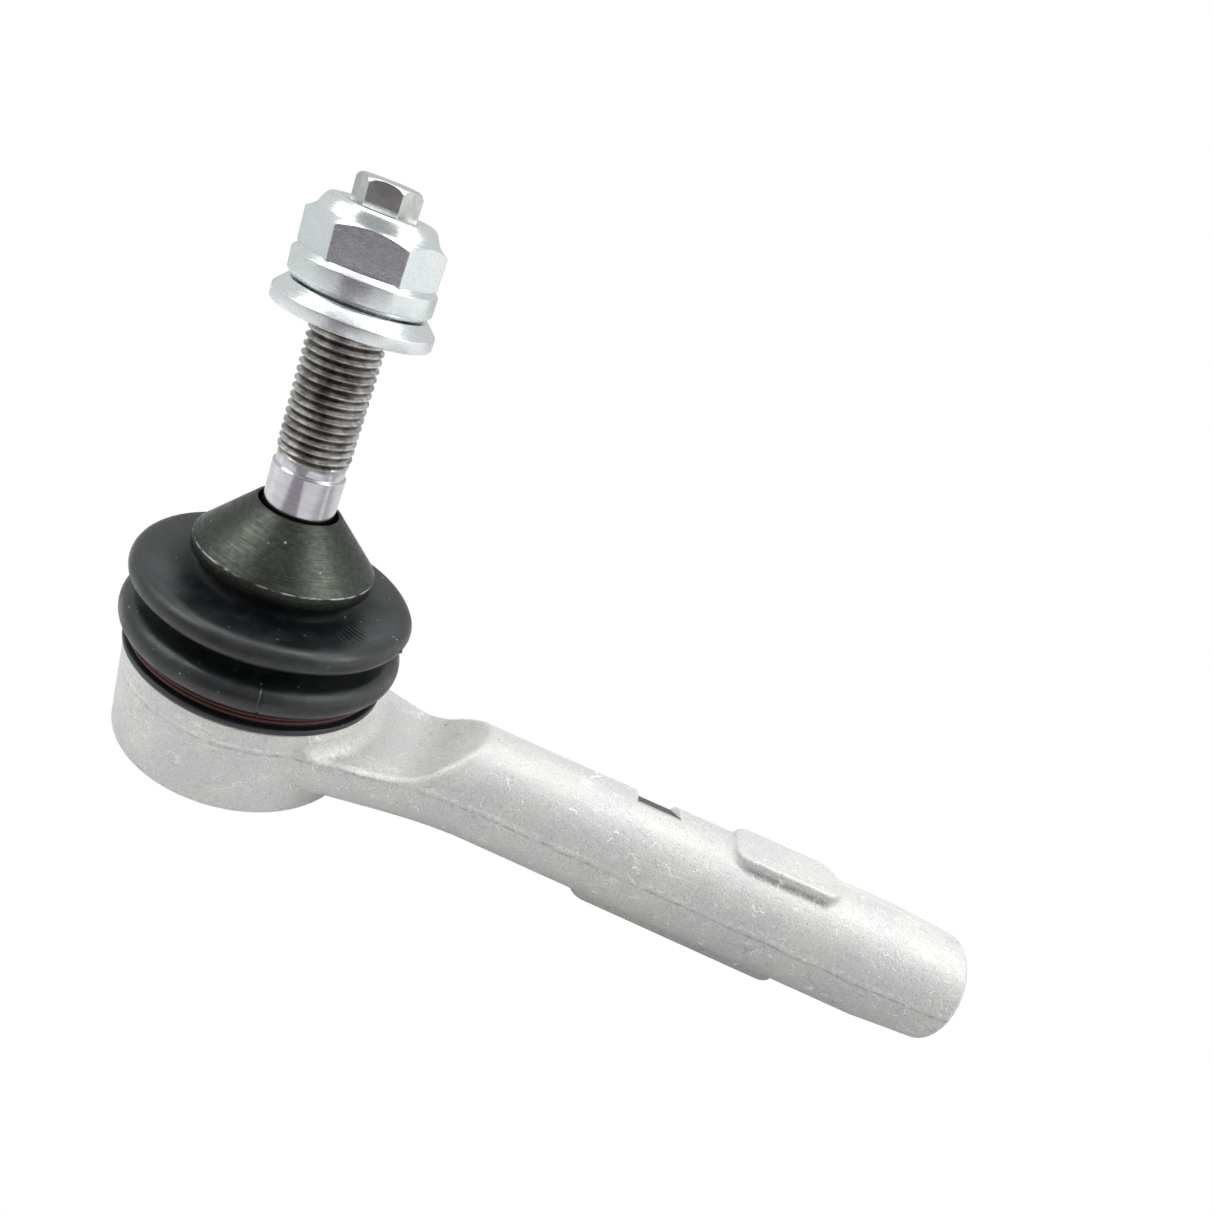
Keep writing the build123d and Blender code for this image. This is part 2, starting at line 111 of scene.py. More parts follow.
def columns(profiles, angles, closed_profile=True, closed_turn=True):
    """Skin columns of (r, z) points, one profile per angle, into vertices and quads."""
    verts, faces = [], []
    rows = len(profiles[0])
    for profile, a in zip(profiles, angles):
        c, s = math.cos(a), math.sin(a)
        verts += [(p[0] * c, p[0] * s, p[1]) for p in profile]
    turns = len(angles)
    for i in range(turns if closed_turn else turns - 1):
        j = (i + 1) % turns
        for k in range(rows if closed_profile else rows - 1):
            m = (k + 1) % rows
            faces.append((i * rows + k, j * rows + k, j * rows + m, i * rows + m))
    return verts, faces


def lathe(name, profile, segments=128):
    """Turn one (r, z) outline about the stud axis."""
    angles = [TAU * i / segments for i in range(segments)]
    verts, faces = columns([profile] * segments, angles)
    return mesh_object(name, verts, faces)


def hex_radius(angle, flats, corner_round):
    """Radius of a hexagon with rounded corners, angle measured from a face's middle."""
    phi = abs((angle + math.radians(30)) % math.radians(60) - math.radians(30))
    half = flats / 2
    inner = (half - corner_round) / math.cos(math.radians(30))
    if math.tan(phi) <= (half - corner_round) * math.tan(math.radians(30)) / half:
        return half / math.cos(phi)
    delta = math.radians(30) - phi
    return inner * math.cos(delta) + math.sqrt(corner_round**2 - (inner * math.sin(delta)) ** 2)


def hex_angles(face_deg, fine):
    """Column angles for a hexagon, closer together at its corners."""
    steps = [-30, -29.4, -28.8, -28, -26.5] + fine + [26.5, 28, 28.8, 29.4]
    return [math.radians(face_deg + 60 * f + s) for f in range(6) for s in steps]


# ------------------------------------------------------------------ materials
def node(tree, kind, **values):
    made = tree.nodes.new(kind)
    for key, value in values.items():
        if key in made.inputs:
            made.inputs[key].default_value = value
        else:
            setattr(made, key, value)
    return made


class Look:
    """A procedural material built up step by step."""

    def __init__(self, name, base, rough, metal=0.0):
        self.mat = bpy.data.materials.new(name)
        self.mat.use_nodes = True
        self.mat.diffuse_color = (*base, 1)
        self.tree = self.mat.node_tree
        self.bsdf = self.tree.nodes["Principled BSDF"]
        self.coord = self.tree.nodes.new("ShaderNodeTexCoord")
        self.bsdf.inputs["Base Color"].default_value = (*base, 1)
        self.bsdf.inputs["Roughness"].default_value = rough
        self.bsdf.inputs["Metallic"].default_value = metal
        self.base = None
        self.height = None
        self.rough = None

    def link(self, a, b):
        self.tree.links.new(a, b)

    def mapped(self, scale):
        m = node(self.tree, "ShaderNodeMapping", Scale=scale)
        self.link(self.coord.outputs["Object"], m.inputs["Vector"])
        return m.outputs["Vector"]

    def noise(self, scale, detail=4, rough=0.5, squeeze=EVEN, distort=0):
        n = node(self.tree, "ShaderNodeTexNoise", Scale=scale, Detail=detail,
                 Roughness=rough, Distortion=distort)
        self.link(self.mapped(squeeze), n.inputs["Vector"])
        return n.outputs["Fac"]

    def cells(self, scale):
        v = node(self.tree, "ShaderNodeTexVoronoi", Scale=scale)
        self.link(self.mapped(EVEN), v.inputs["Vector"])
        return v.outputs["Distance"]

    def remap(self, value, lo, hi, to_lo=0.0, to_hi=1.0):
        """Move a value smoothly from the range lo to hi into the range to_lo to to_hi."""
        r = node(self.tree, "ShaderNodeMapRange")
        r.interpolation_type = "SMOOTHSTEP"
        r.inputs["From Min"].default_value = lo
        r.inputs["From Max"].default_value = hi
        r.inputs["To Min"].default_value = to_lo
        r.inputs["To Max"].default_value = to_hi
        self.link(value, r.inputs["Value"])
        return r.outputs["Result"]

    def maths(self, op, a, b=None):
        m = self.tree.nodes.new("ShaderNodeMath")
        m.operation = op
        for i, v in enumerate((a, b)):
            if v is None:
                continue
            if isinstance(v, (int, float)):
                m.inputs[i].default_value = v
            else:
                self.link(v, m.inputs[i])
        return m.outputs[0]

    def axis(self, name):
        s = self.tree.nodes.new("ShaderNodeSeparateXYZ")
        self.link(self.coord.outputs["Object"], s.inputs[0])
        return s.outputs[name]

    def radius(self, about):
        """Distance from the row's X or Z axis."""
        keep = (0, 1, 1) if about == "X" else (1, 1, 0)
        flat = self.tree.nodes.new("ShaderNodeVectorMath")
        flat.operation = "MULTIPLY"
        flat.inputs[1].default_value = keep
        self.link(self.coord.outputs["Object"], flat.inputs[0])
        size = self.tree.nodes.new("ShaderNodeVectorMath")
        size.operation = "LENGTH"
        self.link(flat.outputs[0], size.inputs[0])
        return size.outputs["Value"]

    def grazing(self):
        """0 where the surface faces the viewer, 1 where it is seen edge on."""
        weight = node(self.tree, "ShaderNodeLayerWeight", Blend=0.5)
        return weight.outputs["Facing"]

    def hairlines(self, scale, width, squeeze=EVEN, distort=0.0):
        """Thin curved lines where a noise field passes through its middle."""
        field = self.noise(scale, 1, 0.4, squeeze, distort)
        off = self.maths("ABSOLUTE", self.maths("SUBTRACT", field, 0.5))
        return self.remap(off, 0.0, width, 1.0, 0.0)

    def product(self, *values):
        out = values[0]
        for v in values[1:]:
            out = self.maths("MULTIPLY", out, v)
        return out

    def tint(self, value, low, high):
        """Blend the base colour from low to high as value goes from 0 to 1."""
        mix = self.tree.nodes.new("ShaderNodeMix")
        mix.data_type = "RGBA"
        self.link(value, mix.inputs[0])
        for slot_name, colour in (("A", low), ("B", high)):
            socket = [i for i in mix.inputs if i.name == slot_name and i.type == "RGBA"][0]
            if isinstance(colour, tuple):
                socket.default_value = (*colour, 1)
            else:
                self.link(colour, socket)
        self.base = [o for o in mix.outputs if o.type == "RGBA"][0]
        return self.base

    def roughen(self, value):
        self.rough = value

    def bump(self, value, distance_mm):
        b = node(self.tree, "ShaderNodeBump", Strength=1.0, Distance=distance_mm * MM)
        self.link(value, b.inputs["Height"])
        if self.height is not None:
            self.link(self.height, b.inputs["Normal"])
        self.height = b.outputs["Normal"]

    def glint(self, value, strength):
        """A little extra light where a nick would catch the lamps."""
        self.bsdf.inputs["Emission Color"].default_value = WHITE
        self.link(self.maths("MULTIPLY", value, strength), self.bsdf.inputs["Emission Strength"])

    def done(self):
        if self.base is not None:
            self.link(self.base, self.bsdf.inputs["Base Color"])
        if self.rough is not None:
            self.link(self.rough, self.bsdf.inputs["Roughness"])
        if self.height is not None:
            self.link(self.height, self.bsdf.inputs["Normal"])
        return self.mat


# places on the rod, in metres: the small flat along X and outward, and its turn about X
FLAT_START, FLAT_END, FLAT_TURN = 0.0832, 0.0927, math.radians(-26)
FLAT_LOW, FLAT_HIGH = 0.01066, 0.01075
ROD_INSIDE, ROD_OUTSIDE = 0.0100, 0.0106
FLASH_HEIGHT = 0.0012


def forged_aluminium():
    look = Look("forged_aluminium", (0.78, 0.78, 0.75), 0.6, 0.34)
    cloud = look.noise(70, 4, 0.65)
    body = look.tint(look.remap(cloud, 0.3, 0.7), (0.74, 0.74, 0.735), (0.815, 0.815, 0.768))
    mottle = look.noise(900, 3, 0.65)
    body = look.tint(look.remap(mottle, 0.30, 0.48, 0.25, 0.0), body, (0.55, 0.55, 0.56))
    grain = look.noise(2600, 2, 0.7)
    body = look.tint(look.remap(grain, 0.30, 0.46, 0.60, 0.0), body, (0.42, 0.42, 0.43))
    body = look.tint(look.remap(grain, 0.54, 0.72, 0.0, 0.80), body, (0.97, 0.97, 0.93))
    # flash line left by the forging dies, a little above the rod's middle
    wobble = look.maths("MULTIPLY", look.maths("SUBTRACT", look.noise(160, 3), 0.5), 0.0011)
    height = look.maths("ADD", look.axis("Z"), look.maths("ADD", wobble, -FLASH_HEIGHT))
    outside = look.remap(look.radius("X"), ROD_INSIDE, ROD_OUTSIDE)
    broken = look.remap(look.noise(90, 3, 0.6), 0.36, 0.52, 0.25, 1.0)
    line = look.remap(look.maths("ABSOLUTE", height), 0.0, 0.0005, 1.0, 0.0)
    flash = look.product(line, broken, outside)
    step = look.remap(height, -0.0003, 0.0003, 0.0, 1.0)
    flash_ridge_highlight = look.remap(look.maths("ABSOLUTE", look.maths("ADD", height, -0.0009)), 0.0, 0.0006, 1.0, 0.0)
    # painted shade darkens the flash line's groove, and a painted highlight lightens the ridge just above
    # it
    body = look.tint(look.product(flash, look.remap(look.noise(500, 3, 0.7), 0.46, 0.60, 0.0, 0.8)),
                     body, (0.50, 0.50, 0.50))
    body = look.tint(look.product(flash_ridge_highlight, broken, outside, look.remap(look.noise(1100, 3, 0.7), 0.42, 0.6)),
                     body, (0.98, 0.98, 0.95))
    # handling nicks, thin and curved, thickest near the open end of the rod
    end_share = look.remap(look.axis("X"), 0.05, 0.14, 0.52, 0.44)
    spots = look.maths("GREATER_THAN", look.noise(190, 2, 0.5), end_share)
    nicks_and_glints = look.product(look.hairlines(300, 0.020, distort=0.6), spots,
                         look.remap(look.noise(520, 1), 0.50, 0.56))
    body = look.tint(nicks_and_glints, body, (1.0, 1.0, 0.98))
    # the nicks also glow a little: a painted glint
    look.glint(nicks_and_glints, 0.11)
    drawn = look.product(look.hairlines(420, 0.018, (0.10, 1, 1)),
                         look.remap(look.noise(140, 2), 0.50, 0.60))
    body = look.tint(look.maths("MULTIPLY", drawn, 0.8), body, (0.98, 0.98, 0.95))
    scuffs = look.product(look.hairlines(260, 0.018, (0.35, 1, 1), 0.8),
                          look.remap(look.noise(230, 2), 0.55, 0.62))
    body = look.tint(look.maths("MULTIPLY", scuffs, 0.5), body, (0.45, 0.45, 0.46))
    pits = look.product(look.remap(look.cells(230), 0.0, 0.13, 1.0, 0.0),
                        look.remap(look.noise(75, 1), 0.56, 0.60))
    body = look.tint(look.maths("MULTIPLY", pits, 0.8), body, (0.12, 0.12, 0.12))
    # the small flat's floor: a darker milled tone, and a painted dark reflection where it is seen edge on
    along = look.product(look.maths("GREATER_THAN", look.axis("X"), FLAT_START),
                         look.maths("LESS_THAN", look.axis("X"), FLAT_END))
    out = look.maths("ADD", look.maths("MULTIPLY", look.axis("Y"), -math.sin(FLAT_TURN)),
                     look.maths("MULTIPLY", look.axis("Z"), math.cos(FLAT_TURN)))
    level = look.remap(out, FLAT_LOW, FLAT_HIGH, 1.0, 0.0)
    dent = look.product(along, level, look.remap(out, 0.0102, 0.0105))
    marks = look.noise(900, 2, 0.6, (0.05, 1, 1))
    milled = look.product(dent, outside, look.remap(marks, 0.35, 0.65, 0.45, 0.75))
    body = look.tint(milled, body, (0.42, 0.42, 0.42))
    # painted dark reflection, strongest where the floor is seen edge on
    body = look.tint(look.product(dent, outside, look.remap(look.grazing(), 0.72, 0.86)),
                     body, (0.055, 0.055, 0.055))
    # painted shade at the foot of the upper wrench pad's near wall
    foot = look.product(look.remap(look.axis("X"), 0.1052, 0.1085),
                        look.remap(look.axis("X"), 0.1225, 0.1248, 1.0, 0.0),
                        look.remap(look.axis("Y"), -0.0056, -0.0053, 1.0, 0.0),
                        look.remap(look.axis("Z"), 0.0100, 0.0106),
                        look.remap(look.axis("Z"), 0.0111, 0.0119, 1.0, 0.0),
                        look.remap(look.noise(1500, 3, 0.6), 0.3, 0.6, 0.30, 0.65))
    body = look.tint(foot, body, (0.20, 0.20, 0.20))
    # painted highlight on the end wall at the flat's far end
    cut = look.product(look.remap(look.axis("X"), 0.09245, 0.09255),
                       look.remap(look.axis("X"), 0.09270, 0.09280, 1.0, 0.0),
                       look.remap(out, 0.01075, 0.01085))
    body = look.tint(cut, body, (1.0, 1.0, 0.98))
    look.roughen(look.remap(look.noise(900, 3, 0.6), 0.3, 0.7, 0.42, 0.58))
    look.bump(step, 0.12)
    look.bump(flash, 0.10)
    look.bump(look.noise(500, 3, 0.6, (0.12, 1, 1)), 0.05)
    look.bump(grain, 0.08)
    look.bump(mottle, 0.05)
    look.bump(look.noise(170, 2, 0.5), 0.12)
    look.bump(look.maths("SUBTRACT", nicks_and_glints, pits), 0.06)
    return look.done()


def stud_steel():
    look = Look("stud_steel", (0.5, 0.5, 0.5), 0.25, 1.0)
    z = look.axis("Z")
    thread = look.product(look.remap(z, 0.0499, 0.0504), look.remap(z, 0.0908, 0.0912, 1.0, 0.0))
    tip = look.remap(z, 0.0908, 0.0912)
    grime = look.noise(500, 4, 0.6)
    crest = look.remap(look.radius("Z"), 0.00612, 0.00655)
    dark = look.tint(look.remap(grime, 0.35, 0.65), (0.07, 0.062, 0.055), (0.19, 0.175, 0.16))
    bright = look.tint(look.remap(grime, 0.35, 0.65), (0.42, 0.41, 0.39), (0.74, 0.73, 0.71))
    wound = look.tint(look.product(crest, look.remap(look.noise(260, 3), 0.3, 0.55, 0.45, 1.0)),
                      dark, bright)
    plain = look.tint(look.remap(look.noise(260, 3, 0.6, (1, 1, 6)), 0.3, 0.7),
                      (0.60, 0.59, 0.62), (0.70, 0.69, 0.72))
    tipped = look.tint(look.remap(grime, 0.3, 0.7), (0.52, 0.53, 0.50), (0.70, 0.71, 0.68))
    body = look.tint(thread, plain, wound)
    look.tint(tip, body, tipped)
    look.roughen(look.maths("ADD", look.remap(thread, 0, 1, 0.16, 0.30),
                            look.remap(tip, 0, 1, 0, 0.14)))
    look.bump(look.noise(300, 2, 0.5, (1, 1, 22)), 0.003)
    look.bump(look.noise(1500, 3), 0.008)
    return look.done()


def phosphated():
    look = Look("phosphated_steel", (0.12, 0.13, 0.12), 0.30, 1.0)
    look.bsdf.inputs["Anisotropic"].default_value = 0.7
    tangent = node(look.tree, "ShaderNodeTangent")
    tangent.direction_type = "RADIAL"
    tangent.axis = "Z"
    look.link(tangent.outputs[0], look.bsdf.inputs["Tangent"])
    body = look.tint(look.remap(look.noise(900, 3, 0.6), 0.3, 0.7),
                     (0.052, 0.057, 0.049), (0.080, 0.087, 0.076))
    rings = look.noise(160, 2, 0.5, (1, 1, 40))
    look.roughen(look.remap(rings, 0.3, 0.7, 0.24, 0.40))
    # painted highlight along the rim's top outer edge
    edge = look.product(look.remap(look.radius("Z"), 0.01788, 0.01796),
                        look.remap(look.axis("Z"), 0.03095, 0.0311),
                        look.remap(look.noise(230, 3, 0.6), 0.45, 0.6))
    body = look.tint(edge, body, (0.55, 0.56, 0.53))
    spots = look.product(look.remap(look.cells(420), 0.0, 0.16, 1.0, 0.0),
                         look.remap(look.noise(120, 1), 0.50, 0.55))
    look.tint(look.maths("MULTIPLY", spots, 0.9), body, (0.60, 0.61, 0.58))
    look.bump(rings, 0.015)
    look.bump(look.noise(1200, 3), 0.010)
    look.bump(spots, 0.05)
    return look.done()


def rubber():
    look = Look("boot_rubber", (0.016, 0.018, 0.020), 0.42, 0.0)
    # weaker reflection towards the stud: painted shade in the boot's hollow
    look.link(look.remap(look.radius("Z"), 0.0165, 0.0240, 0.10, 0.75),
              look.bsdf.inputs["Specular IOR Level"])
    body = look.tint(look.remap(look.noise(220, 5, 0.65), 0.42, 0.72),
                     (0.008, 0.010, 0.011), (0.020, 0.024, 0.026))
    dust = look.product(look.remap(look.cells(480), 0.0, 0.17, 1.0, 0.0),
                        look.remap(look.noise(110, 2), 0.50, 0.56))
    look.tint(look.maths("MULTIPLY", dust, 0.7), body, (0.42, 0.43, 0.44))
    look.roughen(look.remap(look.noise(170, 4, 0.6), 0.3, 0.7, 0.28, 0.46))
    look.bump(look.noise(2500, 3, 0.6), 0.010)
    look.bump(look.noise(420, 3, 0.6, (1, 1, 2)), 0.035)
    return look.done()


def zinc():
    look = Look("zinc_plate", (0.84, 0.88, 0.87), 0.2, 1.0)
    tone = look.noise(150, 3, 0.6)
    body = look.tint(look.remap(tone, 0.3, 0.7), (0.84, 0.895, 0.88), (0.89, 0.92, 0.92))
    blush = look.remap(look.noise(900, 4, 0.7, (1, 1, 4)), 0.45, 0.65)
    body = look.tint(look.maths("MULTIPLY", blush, 0.20), body, (0.88, 0.82, 0.88))
    fleck = look.remap(look.noise(2400, 2, 0.6, (1, 1, 2)), 0.30, 0.44, 0.40, 0.0)
    look.tint(fleck, body, (0.55, 0.58, 0.60))
    look.roughen(look.remap(look.noise(600, 3, 0.6, (1, 1, 5)), 0.3, 0.7, 0.21, 0.29))
    look.bump(look.noise(2400, 3, 0.6, (1, 1, 3)), 0.008)
    look.bump(look.noise(900, 2, 0.5, (1, 1, 9)), 0.005)
    return look.done()


SIMPLE_GRAIN, SIMPLE_DEPTH, SIMPLE_SHADE = 600, 0.01, 0.86


def simple(name, base, rough, metal):
    """A plain finish with a little cloud in its colour, roughness and grain."""
    look = Look(name, base, rough, metal)
    low = tuple(c * SIMPLE_SHADE for c in base)
    look.tint(look.remap(look.noise(200, 3), 0.3, 0.7), low, base)
    look.roughen(look.remap(look.noise(SIMPLE_GRAIN, 3), 0.3, 0.7, rough * 0.85, min(1, rough * 1.15)))
    look.bump(look.noise(SIMPLE_GRAIN * 2, 3), SIMPLE_DEPTH)
    return look.done()


LOOKS = {
    "forged_aluminium": forged_aluminium(),
    "stud_steel": stud_steel(),
    "phosphated_steel": phosphated(),
    "boot_rubber": rubber(),
    "zinc_plate": zinc(),
    "brown_wire": simple("brown_wire", (0.085, 0.020, 0.018), 0.36, 0.1),
    "acetal": simple("acetal", (0.86, 0.85, 0.80), 0.45, 0.0),
    "cut_aluminium": simple("cut_aluminium", (0.60, 0.60, 0.59), 0.34, 0.8),
    "spring_steel": simple("spring_steel", (0.30, 0.29, 0.28), 0.35, 1.0),
    "cover_steel": simple("cover_steel", (0.66, 0.68, 0.70), 0.3, 1.0),
}


def paint(obj, slot_name):
    obj.data.materials.clear()
    obj.data.materials.append(LOOKS[slot_name])


def piece(obj, body, slot_name, *nodes):
    """Finish a built piece: its look, its body, its slot and the CAD nodes it stands for."""
    paint(obj, slot_name)
    if body:
        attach(obj, body)
    if nodes:
        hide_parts(*nodes)
    return obj


for part in frame["record"]["subparts"]:
    paint(frame["nodes"][part["node"]], part["material_slot"])

# ------------------------------------------------------------------ stud
PITCH = 1.5
BALL_R = 13.5
CREST_R, ROOT_R, RELIEF_R = 6.95, 6.08, 6.55
THREAD_LOW, THREAD_HIGH = 50.4, 91.2
CREST_Z = 50.806
STUD_COLUMNS = 96
THREAD_FORM = [(0.0, 0.0), (0.07, 0.02), (0.24, 0.42), (0.41, 0.93), (0.5, 1.0),
               (0.59, 0.93), (0.76, 0.42), (0.93, 0.02)]


def thread_radius(z, share):
    """Radius of the rolled thread at height z, share 0 on the crest and 1 in the root."""
    full = CREST_R + (ROOT_R - CREST_R) * share
    start = min(1, max(0, (z - THREAD_LOW) / 1.1))
    r = RELIEF_R + (full - RELIEF_R) * start * start * (3 - 2 * start)
    return min(r, 5.9 + (THREAD_HIGH - z))


def helix_skin(profiles, angles, head, tail, form, closed_profile):
    """Skin columns whose middle rows climb by one turn of the form from first to last."""
    verts, faces = columns(profiles, angles, closed_profile, False)
    rows = len(profiles[0])
    end = (len(profiles) - 1) * rows

    def wrapped(k):
        return k if k < head or k >= rows - tail else min(k + form, rows - 1 - tail)

    for k in range(rows if closed_profile else rows - 1):
        m = (k + 1) % rows
        faces.append((end + k, wrapped(k), wrapped(m), end + m))
    return verts, [f for f in faces if len(set(f)) > 2]


def build_stud():
    angles = [TAU * i / STUD_COLUMNS for i in range(STUD_COLUMNS)]
    ball = arc((0, 0), BALL_R, -44.7, 62.7, 40)
    shank = rounded(
        [(6.2, 12.0, 0), (6.2, 15.5, 3), (8.2, 21.5, 3), (8.2, 28.6, 0.2), (7.3, 28.6, 0.1),
         (7.3, 36.5, 0), (7.0, 36.8, 0), (7.0, 48.45, 0.25), (RELIEF_R, 48.85, 0.25),
         (RELIEF_R, THREAD_LOW, 0)], closed=False)
    lower = [(0.0, -9.5)] + ball + [tuple(p) for p in shank]
    first = math.floor((THREAD_LOW - CREST_Z) / PITCH) - 2
    last = math.ceil((THREAD_HIGH - CREST_Z) / PITCH) + 1
    profiles = []
    for a in angles:
        column = list(lower)
        for turn in range(first, last):
            for phase, share in THREAD_FORM:
                z = CREST_Z + PITCH * (turn + phase + a / TAU)
                z = min(THREAD_HIGH, max(THREAD_LOW, z))
                column.append((thread_radius(z, share), z))
        column.append((0.0, THREAD_HIGH))
        profiles.append(column)
    verts, faces = helix_skin(profiles, angles, len(lower), 1, len(THREAD_FORM), False)
    return mesh_object("stud_body", verts, faces, 40)


piece(build_stud(), "stud", "stud_steel", "ball_stud")


ENVELOPE_ROWS, FACE_ROWS = 10, 3


def hex_piece(flats, corner_round, face_deg, below, above, inner):
    """Columns for a hexagon cut by a turned envelope: below and inner are turned, above is the envelope."""
    angles = hex_angles(face_deg, [-22, -15, -7.5, 0, 7.5, 15, 22])
    profiles = []
    for a in angles:
        r = hex_radius(a - math.radians(face_deg), flats, corner_round)
        k = 0
        while above[k + 1][0] > r:
            k += 1
        (r0, z0), (r1, z1) = above[k], above[k + 1]
        cut = z0 + (z1 - z0) * (r0 - r) / (r0 - r1)
        tail = []
        # resample the envelope from the cut to its end, so every column has as many rows
        path = [(r, cut)] + list(above[k + 1:])
        spans = [math.dist(path[i], path[i + 1]) for i in range(len(path) - 1)]
        lengths = np.r_[0, np.cumsum(spans)]
        for s in range(1, ENVELOPE_ROWS + 1):
            d = lengths[-1] * s / ENVELOPE_ROWS
            i = min(len(path) - 2, int(np.searchsorted(lengths, d, side="right")) - 1)
            t = (d - lengths[i]) / (lengths[i + 1] - lengths[i])
            tail.append((path[i][0] + t * (path[i + 1][0] - path[i][0]),
                         path[i][1] + t * (path[i + 1][1] - path[i][1])))
        foot = below[-1][1]
        face = [(r, foot)] + [(r, foot + (cut - foot) * s / FACE_ROWS) for s in range(1, FACE_ROWS + 1)]
        profiles.append(list(below) + face + tail + list(inner))
    return profiles, angles


def build_tip():
    envelope = [(6.4, 95.6), (5.55, 96.25), (5.2, 96.75), (4.75, 97.0)]
    profiles, angles = hex_piece(9.8, 0.25, -80.3, [(0.0, 90.9)], envelope, [(0.0, 97.0)])
    verts, faces = columns(profiles, angles, False)
    return mesh_object("stud_hexagon", verts, faces)


piece(build_tip(), "stud", "stud_steel")

# ------------------------------------------------------------------ thread in the rod
BORE_LOW, BORE_HIGH, BORE_WALL = 108.0, 152.6, 7.17
BORE_FORM = [(0.0, 0.0), (0.36, 1.0), (0.50, 1.0), (0.86, 0.0)]


def build_bore_thread():
    angles = [TAU * i / STUD_COLUMNS for i in range(STUD_COLUMNS)]
    turns = math.ceil((BORE_HIGH - BORE_LOW) / PITCH) + 1
    profiles = []
    for a in angles:
        column = [(BORE_WALL + 0.15, BORE_LOW)]
        for turn in range(-2, turns):
            for phase, share in BORE_FORM:
                x = min(BORE_HIGH, max(BORE_LOW, BORE_LOW + PITCH * (turn + phase + a / TAU)))
                fade = min(1, (x - BORE_LOW) / 2, (BORE_HIGH - x) / 1.2)
                column.append((BORE_WALL - 0.45 * share * fade, x))
        column.append((BORE_WALL + 0.15, BORE_HIGH))
        profiles.append(column)
    verts, faces = helix_skin(profiles, angles, 1, 1, len(BORE_FORM), True)
    return mesh_object("bore_thread", [(z, x, y) for x, y, z in verts], faces, 40)


bore_thread = piece(build_bore_thread(), "housing", "forged_aluminium")
paint(bore_thread, "cut_aluminium")

# ------------------------------------------------------------------ nut and washer
def build_nut():
    below = [tuple(p) for p in rounded(
        [(7.05, 75.5, 0), (9.8, 75.5, 0.2), (9.8, 76.1, 0.2), (8.7, 76.1, 0), (8.7, 79.6, 0),
         (11.8, 79.6, 0.3), (12.6, 80.4, 0.3), (12.6, 83.5, 0.35), (11.7, 84.35, 0.2)], closed=False)]
    crown = arc((8.2, 91.5), 1.5, 25, 90, 10)
    envelope = [(13.0, 89.0), (10.45, 90.55), (10.1, 91.2)] + crown
    inner = [(7.6, 93.0), (7.05, 92.4)]
    profiles, angles = hex_piece(21.0, 0.35, -76.5, below, envelope, inner)
    verts, faces = columns(profiles, angles, True)
    return mesh_object("nut_body", verts, faces)


piece(build_nut(), "nut", "zinc_plate", "lock_nut")

washer_outline = rounded(
    [(10.2, 75.2, 0.1), (14.3, 75.2, 0.3), (14.3, 77.3, 0.35), (12.2, 79.3, 0.25),
     (9.0, 79.3, 0.1), (9.0, 76.4, 0), (10.2, 76.4, 0)])
piece(lathe("washer_body", washer_outline), "washer", "zinc_plate", "captive_washer")

# ------------------------------------------------------------------ collar
collar_outline = rounded(
    [(7.31, 28.6, 0), (18.0, 28.6, 0.3), (18.0, 31.2, 0.18), (8.45, 40.8, 0.15),
     (7.85, 40.8, 0.1), (7.85, 36.5, 0), (7.31, 36.5, 0)])
piece(lathe("collar_body", collar_outline, 160), "stud", "phosphated_steel", "cone_collar")

# ------------------------------------------------------------------ boot
BOOT_COLUMNS = 192
MOULD_SEAM, MOULD_NUB, CREASE = math.radians(-68.6), math.radians(-4.8), math.radians(-24)
BOOT_ANGLES = sorted([TAU * i / BOOT_COLUMNS for i in range(BOOT_COLUMNS)]
                     + [(a + math.radians(d)) % TAU for a in (MOULD_SEAM, MOULD_NUB)
                        for d in (-1.2, -0.8, -0.45, -0.2, 0.0, 0.2, 0.45, 0.8, 1.2)]
                     + [(CREASE + math.radians(d)) % TAU for d in range(-14, 15)])


def apart(a, b):
    """Angle from b to a, between -pi and pi."""
    return (a - b + math.pi) % TAU - math.pi


def boot_wrinkle(a, r, z):
    """Small uneven shape of the moulded rubber, in millimetres along the radius and height."""
    tilt = 0.18 * math.cos(a - 2.6)
    sway = 0.12 * math.sin(3 * a + 0.7) + 0.07 * math.sin(7 * a + 1.9 + z * 0.2)
    fade = min(1, max(0, (z - 11) / 4)) * min(1, max(0, (27 - z) / 3))
    dr, dz = sway * fade, tilt * fade * min(1, max(0, (r - 17) / 6))
    outer = min(1, max(0, (r - 24.5) / 1.5))
    seam = math.exp(-(apart(a, MOULD_SEAM) / math.radians(0.4)) ** 2)
    dr -= 0.22 * seam * outer * min(1, max(0, (18 - z) / 2)) * min(1, max(0, (z - 10) / 1))
    nub = math.exp(-(apart(a, MOULD_NUB) / math.radians(0.5)) ** 2)
    dr += 0.35 * nub * math.exp(-((z - 22.3) / 0.5) ** 2) * min(1, max(0, (r - 27.6) / 0.5))
    # short radial creases on top of the upper fold
    share = math.exp(-(apart(a, CREASE) / math.radians(9)) ** 2)
    ribs = math.sin(apart(a, CREASE) * 110 + (r - 20) * 0.9) * math.exp(-((r - 20.8) / 1.9) ** 2)
    if z > 23.9:
        dz += 0.16 * share * ribs
    return dr, dz


def build_boot(name, outline):
    profiles = []
    for a in BOOT_ANGLES:
        column = []
        for r, z in outline:
            dr, dz = boot_wrinkle(a, r, z)
            column.append((r + dr, z + dz))
        profiles.append(column)
    verts, faces = columns(profiles, BOOT_ANGLES, True)
    return mesh_object(name, verts, faces, 50)


